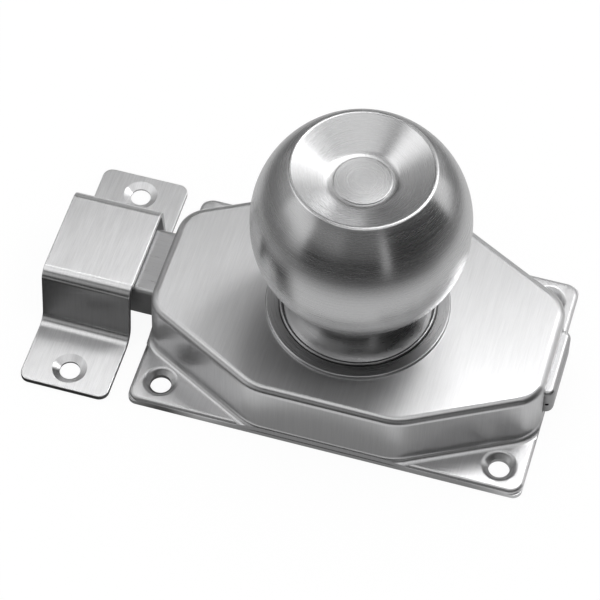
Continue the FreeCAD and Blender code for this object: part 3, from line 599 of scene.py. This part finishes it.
class Finishes:
    """The finishes of the bolt's pieces."""

    CASE = SteelFinish(
        "case_brushed", (0.65, 0.65, 0.655), 0.33, Grain.ALONG_Y, spread=0.04, tint=0.09,
        depth=0.002 * MM, line_width=0.07 * MM, line_length=6 * MM, stretch=0.85,
    )
    # Painted light and shade: the keeper's colour is set lighter than the case's steel so its top reads
    # lit, and its upright faces keep half of it as painted shade.
    KEEPER = SteelFinish(
        "keeper_brushed", (0.82, 0.82, 0.825), 0.32, Grain.ALONG_Y, spread=0.04, tint=0.1,
        depth=0.002 * MM, line_width=0.07 * MM, line_length=4 * MM, stretch=0.85, upright_share=0.5,
    )
    PLATE = SteelFinish("plate_rolled", (0.62, 0.62, 0.625), 0.35, Grain.ALONG_X, depth=0.002 * MM)
    # Painted shade: the bolt's upright faces keep 0.55 of its colour.
    BOLT = SteelFinish(
        "bolt_satin", (0.6, 0.6, 0.605), 0.36, Grain.ALONG_X, stretch=0.4, upright_share=0.55
    )
    # Painted shade: faces of the ball that look down keep 0.4 of its colour.
    KNOB = SteelFinish(
        "knob_turned", (0.62, 0.62, 0.625), 0.26, Grain.ROUND_Z, spread=0.04, tint=0.06,
        depth=0.0009 * MM, line_width=0.08 * MM, line_length=14 * MM, stretch=0.7, under_share=0.4,
    )
    # Painted shade: the neck's steel is set much darker than the ball's, for the shade in the cove under
    # the ball.
    NECK = SteelFinish("neck_polished", (0.37, 0.37, 0.375), 0.3, Grain.ROUND_Z, spread=0.1, stretch=0.3)
    COLLAR = SteelFinish(
        "collar_turned", (0.44, 0.44, 0.445), 0.3, Grain.ROUND_Z, spread=0.06, tint=0.06,
        depth=0.002 * MM,
    )
    INNER = SteelFinish("inner_machined", (0.5, 0.5, 0.51), 0.35, Grain.ROUND_Z)
    SPRING = PlainFinish("spring_blued", (0.22, 0.23, 0.26), 0.3, metal=True)
    BRONZE = PlainFinish("bush_sintered", (0.55, 0.38, 0.2), 0.5, metal=True)
    PLASTIC = PlainFinish("slide_plastic", (0.03, 0.03, 0.032), 0.5)


@dataclass
class EdgeCare:
    """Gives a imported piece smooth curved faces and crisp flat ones, with modifiers alone.

    Fields:
        weld: How near two points are that become one.
        sharp_deg: The angle from which an edge stays sharp.
        flat_weight: How strongly large flat faces keep the normals of their edges straight.
    """

    weld: float = 0.0005 * MM
    sharp_deg: float = 24.0
    flat_weight: int = 80

    def tree(self) -> bpy.types.NodeTree:
        """Build the geometry nodes that shade faces smooth and keep sharp edges, or find them.

        Returns:
            The node tree.
        """
        name = "shade_by_angle"
        known = bpy.data.node_groups.get(name)
        if known is not None:
            return known
        tree = bpy.data.node_groups.new(name, "GeometryNodeTree")
        for side in ("INPUT", "OUTPUT"):
            tree.interface.new_socket("Geometry", in_out=side, socket_type="NodeSocketGeometry")
        sheet = Sheet(tree)
        given = sheet.add("NodeGroupInput").outputs[0]
        angle = sheet.add("GeometryNodeInputMeshEdgeAngle").outputs["Unsigned Angle"]
        limit = math.radians(self.sharp_deg)
        is_sharp = sheet.first_output("FunctionNodeCompare", angle, limit, operation="GREATER_THAN")
        smooth = sheet.add("GeometryNodeSetShadeSmooth", domain="FACE")
        sheet.feed_named(smooth, {"Geometry": given})
        sharp = sheet.add("GeometryNodeSetShadeSmooth", domain="EDGE")
        values = {"Geometry": smooth.outputs[0], "Selection": is_sharp, "Shade Smooth": False}
        sheet.feed_named(sharp, values)
        sheet.feed(sheet.add("NodeGroupOutput").inputs[0], sharp.outputs[0])
        return tree

    def apply(self, piece: bpy.types.Object) -> None:
        """Add the modifiers to one piece.

        Args:
            piece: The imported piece.
        """
        weld = piece.modifiers.new("weld", "WELD")
        weld.merge_threshold = self.weld
        shade = piece.modifiers.new("shade_by_angle", "NODES")
        shade.node_group = self.tree()
        normals = piece.modifiers.new("weighted_normals", "WEIGHTED_NORMAL")
        normals.keep_sharp = True
        normals.weight = self.flat_weight


@dataclass
class SubAssembly:
    """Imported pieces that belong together, with a finish each.

    Fields:
        nodes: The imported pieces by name.
        edges: How their edges are cared for.
    """

    nodes: dict[str, bpy.types.Object]
    edges: EdgeCare = field(default_factory=EdgeCare)

    def finishes(self) -> dict[str, Finish]:
        """The finish of each piece, by the piece's name."""
        raise NotImplementedError

    def build(self) -> None:
        """Dress every piece and report it."""
        for node_name, finish in self.finishes().items():
            piece = self.nodes[node_name]
            piece.data.materials.clear()
            piece.data.materials.append(finish.material())
            self.edges.apply(piece)
            LOG.info("%s: %s in %s", type(self).__name__, node_name, finish.name)


class Case(SubAssembly):
    """The pressed case with what is fixed in it for the knob."""

    def finishes(self) -> dict[str, Finish]:
        """The finish of each piece, by the piece's name."""
        return {
            "case_cover": Finishes.CASE,
            "back_plate": Finishes.PLATE,
            "cover_pillars": Finishes.INNER,
            "cover_screws": Finishes.INNER,
            "collar": Finishes.COLLAR,
            "collar_lock_ring": Finishes.INNER,
            "thrust_washer": Finishes.PLASTIC,
            "shaft_bush": Finishes.BRONZE,
        }


class Slide(SubAssembly):
    """The bolt with its guides, pads and detent."""

    def finishes(self) -> dict[str, Finish]:
        """The finish of each piece, by the piece's name."""
        return {
            "bolt_bar": Finishes.BOLT,
            "bolt_guide_left": Finishes.PLATE,
            "bolt_guide_right": Finishes.PLATE,
            "slide_pad_left": Finishes.PLASTIC,
            "slide_pad_right": Finishes.PLASTIC,
            "guide_rivets": Finishes.INNER,
            "detent_spring": Finishes.SPRING,
            "detent_rivets": Finishes.INNER,
        }


class Knob(SubAssembly):
    """The knob with the shaft and the pinion that turn with it."""

    def finishes(self) -> dict[str, Finish]:
        """The finish of each piece, by the piece's name."""
        return {
            "knob_ball": Finishes.KNOB,
            "knob_neck": Finishes.NECK,
            "knob_hub": Finishes.INNER,
            "pinion_shaft": Finishes.INNER,
            "hub_pin": Finishes.INNER,
            "retaining_ring": Finishes.SPRING,
        }


class Keeper(SubAssembly):
    """The strap on the post that takes the bolt's end."""

    def finishes(self) -> dict[str, Finish]:
        """The finish of each piece, by the piece's name."""
        return {"keeper": Finishes.KEEPER}


@dataclass
class Camera:
    """The camera, placed as the photograph was taken.

    Fields:
        target: The point it looks at.
        azimuth_deg: How far it stands round from the front towards +X.
        elevation_deg: How far it stands above the mounting plane.
        roll_deg: How far it is turned about its own line of sight.
        distance: How far it is from the target.
        lens: Its focal length, in millimetres.
        sensor_width: The width of its sensor, in millimetres.
        clip: The nearest and farthest that it sees.
    """

    target: Vector = field(default_factory=lambda: Vector((-16.36, 8.31, 1.0)) * MM)
    azimuth_deg: float = 15.754
    elevation_deg: float = 54.647
    roll_deg: float = 0.657
    distance: float = 683.16 * MM
    lens: float = 170.92
    sensor_width: float = 36.0
    clip: tuple[float, float] = (0.01, 20.0)

    def build(self) -> None:
        """Add the camera to the scene."""
        data = bpy.data.cameras.new("camera")
        data.lens = self.lens
        data.sensor_width = self.sensor_width
        data.clip_start, data.clip_end = self.clip
        camera = bpy.data.objects.new("camera", data)
        scene = bpy.context.scene
        scene.collection.objects.link(camera)
        scene.camera = camera
        azimuth, elevation = math.radians(self.azimuth_deg), math.radians(self.elevation_deg)
        level = math.cos(elevation)
        away = Vector((math.sin(azimuth) * level, -math.cos(azimuth) * level, math.sin(elevation)))
        turn = (-away).to_track_quat("-Z", "Y").to_matrix().to_4x4()
        roll = Matrix.Rotation(math.radians(self.roll_deg), 4, "Z")
        camera.matrix_world = Matrix.Translation(self.target + away * self.distance) @ turn @ roll


@dataclass
class Backdrop:
    """The white world and the white floor.

    Fields:
        fill_light: The world's light on matt surfaces. The camera and mirrors see it white.
        floor_size: How wide the floor is.
        floor_color: The floor's grey under the light.
        floor_roughness: The floor's roughness.
        glow_share: How much of the floor shines by itself where it is seen. The rest keeps the
            object's shadow.
        glow: How brightly it shines.
    """

    fill_light: float = 0.6
    floor_size: float = 6.0
    floor_color: Color = (0.86, 0.86, 0.86)
    floor_roughness: float = 0.9
    glow_share: float = 0.85
    glow: float = 1.09

    def build(self) -> None:
        """Build the world and the floor."""
        bpy.context.scene.view_settings.view_transform = "Standard"
        self.build_world()
        self.build_floor()

    def build_world(self) -> None:
        """Make a plain white world."""
        world = bpy.data.worlds.new("studio")
        world.use_nodes = True
        bpy.context.scene.world = world
        sheet = Sheet(world.node_tree)
        light = sheet.spread(sheet.shown(), self.fill_light, 1.0)
        values = {"Color": (1.0, 1.0, 1.0, 1.0), "Strength": light}
        sheet.feed_named(world.node_tree.nodes["Background"], values)

    def floor_material(self) -> bpy.types.Material:
        """Make a floor that is white by itself and keeps a soft shadow.

        Returns:
            The material.
        """
        material = bpy.data.materials.new("floor_white")
        material.use_nodes = True
        nodes = material.node_tree.nodes
        sheet = Sheet(material.node_tree)
        paint = {
            "Base Color": (*self.floor_color, 1.0),
            "Roughness": self.floor_roughness,
            "Specular IOR Level": 0.0,
        }
        matt = sheet.feed_named(nodes["Principled BSDF"], paint)
        glow = sheet.feed_named(sheet.add("ShaderNodeEmission"), {"Strength": self.glow})
        share = sheet.math("MULTIPLY", sheet.shown(), self.glow_share)
        mixed = sheet.first_output("ShaderNodeMixShader", share, matt.outputs[0], glow.outputs[0])
        sheet.feed(nodes["Material Output"].inputs[0], mixed)
        return material

    def build_floor(self) -> None:
        """Lay the floor under the object."""
        half = self.floor_size / 2
        mesh = bpy.data.meshes.new("floor")
        points = [(-half, -half, 0), (half, -half, 0), (half, half, 0), (-half, half, 0)]
        mesh.from_pydata(points, [], [(0, 1, 2, 3)])
        mesh.materials.append(self.floor_material())
        floor = bpy.data.objects.new("floor", mesh)
        bpy.context.scene.collection.objects.link(floor)


def fade(inside: float, soft: float) -> float:
    """How much of a patch is there at a place, from 0 outside its soft edge to 1 inside.

    Args:
        inside: How far the place is inside the patch's edge, or below 0 outside it.
        soft: How wide the edge is.

    Returns:
        The share.
    """
    share = min(max(inside / soft + 0.5, 0.0), 1.0)
    return share * share * (3 - 2 * share)


@dataclass(frozen=True)
class Patch:
    """A soft-edged patch of the room that mirrors see, on its dome or on its floor.

    Fields:
        name: What it is.
        azimuths: Where it starts and ends, in degrees from +Y towards +X, or ALL_ROUND.
        reach: Its lower and upper edge: degrees of elevation, or millimetres from the knob's axis.
        light: How bright it is, where 1 is white.
        soft: How wide its edges are, in degrees, and for reach in the units of reach.
    """

    name: str
    azimuths: tuple[float, float]
    reach: tuple[float, float]
    light: float
    soft: float = 5.0

    def share(self, azimuth: float, height: float) -> float:
        """How much of the patch is at a place.

        Args:
            azimuth: The place's azimuth.
            height: Its elevation or radius, as reach is given.

        Returns:
            The share, from 0 to 1.
        """
        start, end = self.azimuths
        off = abs((azimuth - (start + end) / 2 + 180) % 360 - 180)
        low, high = self.reach
        side = fade((end - start) / 2 - off, self.soft)
        return side * fade(min(height - low, high - height), self.soft)


def light_at(patches: tuple[Patch, ...], azimuth: float, height: float) -> float:
    """How bright the room is at a place.

    Args:
        patches: The patches of the dome or the floor, the upper ones last.
        azimuth: The place's azimuth.
        height: Its elevation or radius.

    Returns:
        The brightness.
    """
    light = 0.0
    for patch in patches:
        light += (patch.light - light) * patch.share(azimuth, height)
    return light


def ring(azimuths: list[float], radius: float, height: float) -> list[Vector]:
    """The points of a level ring round the Z axis.

    Args:
        azimuths: The azimuth of each point, in degrees from +Y towards +X.
        radius: The ring's radius.
        height: How high it lies.

    Returns:
        The points.
    """
    angles = [math.radians(azimuth) for azimuth in azimuths]
    return [Vector((math.sin(angle) * radius, math.cos(angle) * radius, height)) for angle in angles]


@dataclass
class MirrorRoom:
    """The room that mirrors alone see: a dome round the object, and a floor with paper on it.

    Fields:
        middle_height: How high the dome's middle lies.
        radius: The dome's radius, and how far the floor reaches.
        columns: How many faces go round the dome.
        rises: The lowest and highest ring of the dome, and the step, in degrees of elevation.
        floor_columns: How many faces go round the floor.
        floor_start: The radius of the floor's first ring, in millimetres.
        floor_growth: How much wider each ring of the floor is than the last.
        floor_height: How far the floor lies above the mounting plane.
        dome: The patches of walls and ceiling, each over the ones before it.
        ground: The patches of the floor, each over the ones before it. The dark paper round the
        object is its painted shadow.
    """

    middle_height: float = 50.0 * MM
    radius: float = 0.8
    columns: int = 180
    rises: tuple[int, int, int] = (-4, 90, 2)
    floor_columns: int = 72
    floor_start: float = 4.0
    floor_growth: float = 1.08
    floor_height: float = 0.02 * MM
    dome: tuple[Patch, ...] = (
        Patch("room", ALL_ROUND, (-20, 120), 0.45),
        Patch("zenith", ALL_ROUND, (58, 120), 0.4, 8),
        Patch("zenith_front", (76, 232), (57, 120), 1.05, 10),
        Patch("ceiling_right", (58, 112), (46, 72), 1.1, 8),
        Patch("ceiling_left", (-112, -64), (42, 66), 1.6, 8),
        Patch("ceiling_front", (85, 232), (34, 54), 0.03, 8),
        Patch("room_front", (143, 222), (-20, 38), 0.16, 3),
        Patch("room_front_left", (184, 224), (14, 40), 0.3, 10),
        Patch("room_front_low", (143, 222), (-20, 12), 0.0, 12),
        Patch("room_right", (66, 139), (-20, 36), 0.03, 3),
        Patch("room_seam", (138, 144), (-20, 36), 0.6, 2),
        Patch("room_corner", (222, 262), (8, 32), 0.9, 6),
        Patch("room_left", (240, 300), (-20, 8), 0.22, 8),
        Patch("room_left_back", (-52, -4), (26, 46), 0.05, 10),
        Patch("room_back", (-52, -16), (-20, 14), 0.16, 10),
        Patch("room_back_right", (0, 30), (-2, 28), 0.75, 8),
        Patch("ceiling_back", (-62, 14), (50, 62), 0.68, 5),
        Patch("ceiling_back_dim", (-50, -28), (44, 58), 0.1, 8),
        Patch("skylight", (-18, 30), (60, 71), 4.5, 6),
        Patch("window_top", (18, 46), (46, 61), 9.0, 6),
        Patch("window", (18, 56), (24, 50), 1.8, 8),
        Patch("window_low", (42, 66), (-20, 14), 0.95, 6),
    )
    ground: tuple[Patch, ...] = (
        Patch("room_floor", ALL_ROUND, (150, 2000), 0.16, 20),
        Patch("room_floor_front", (100, 225), (190, 2000), 0.03, 40),
        Patch("paper", ALL_ROUND, (-50, 150), 0.7, 20),
        Patch("paper_front_far", (95, 235), (112, 150), 0.45, 16),
        # Painted shadow of the object on the paper, which only mirrors see.
        Patch("paper_shade", ALL_ROUND, (-50, 42), 0.27, 6),
        Patch("paper_shade_right", (95, 148), (-50, 52), 0.3, 8),
        Patch("paper_left", (225, 285), (56, 115), 0.05, 15),
        Patch("paper_gap_shade", (225, 285), (-50, 56), 0.08, 10),
    )

    def build(self) -> None:
        """Build the dome and the floor."""
        self.build_dome()
        self.build_ground()

    def build_dome(self) -> None:
        """Build the room's walls and ceiling as one dome."""
        azimuths = [360 * index / self.columns for index in range(self.columns)]
        lowest, highest, step = self.rises
        rows, lights = [], []
        for rise in range(lowest, highest + 1, step):
            angle = math.radians(rise)
            across, up = math.cos(angle) * self.radius, math.sin(angle) * self.radius
            rows.append(ring(azimuths, across, self.middle_height + up))
            lights += [light_at(self.dome, azimuth, rise) for azimuth in azimuths]
        self.add_shell("studio_dome", rows, lights)

    def build_ground(self) -> None:
        """Lay the room's floor, with the paper that the object stands on."""
        azimuths = [360 * index / self.floor_columns for index in range(self.floor_columns)]
        rows, lights = [], []
        reach = self.floor_start
        while reach * MM < self.radius:
            rows.append(ring(azimuths, reach * MM, self.floor_height))
            lights += [light_at(self.ground, azimuth, reach) for azimuth in azimuths]
            reach *= self.floor_growth
        self.add_shell("studio_ground", rows, lights)

    def add_shell(self, name: str, rows: list[list[Vector]], lights: list[float]) -> None:
        """Add a round stage piece that mirrors alone see.

        Args:
            name: Its name.
            rows: Its points, in rings that close on themselves.
            lights: How bright it is at each point, ring after ring.
        """
        count = len(rows[0])
        faces = []
        for start in range(0, (len(rows) - 1) * count, count):
            for index in range(count):
                after = (index + 1) % count
                upper = start + count
                faces.append((start + index, start + after, upper + after, upper + index))
        mesh = bpy.data.meshes.new(name)
        mesh.from_pydata([point for row in rows for point in row], [], faces)
        mesh.attributes.new("glow", "FLOAT", "POINT").data.foreach_set("value", lights)
        mesh.materials.append(self.glow_material(name))
        piece = bpy.data.objects.new(name, mesh)
        bpy.context.scene.collection.objects.link(piece)
        piece.visible_camera = False
        piece.visible_diffuse = False
        piece.visible_transmission = False
        piece.visible_shadow = False

    def glow_material(self, name: str) -> bpy.types.Material:
        """Make a material that only shines, as bright as its mesh says at each point.

        Args:
            name: The material's name.

        Returns:
            The material.
        """
        material = bpy.data.materials.new(name)
        material.use_nodes = True
        nodes = material.node_tree.nodes
        nodes.remove(nodes["Principled BSDF"])
        sheet = Sheet(material.node_tree)
        given = sheet.add("ShaderNodeAttribute", attribute_name="glow").outputs["Fac"]
        glow = sheet.feed_named(sheet.add("ShaderNodeEmission"), {"Strength": given})
        sheet.feed(nodes["Material Output"].inputs[0], glow.outputs[0])
        return material


def main() -> None:
    """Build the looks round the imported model."""
    logging.basicConfig(level=logging.INFO, format="%(name)s: %(message)s")
    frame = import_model()
    nodes = frame["nodes"]
    for stage in (Camera(), Backdrop(), MirrorRoom()):
        stage.build()
    for sub_assembly in (Case, Slide, Knob, Keeper):
        sub_assembly(nodes).build()


if __name__ == "__main__":
    main()
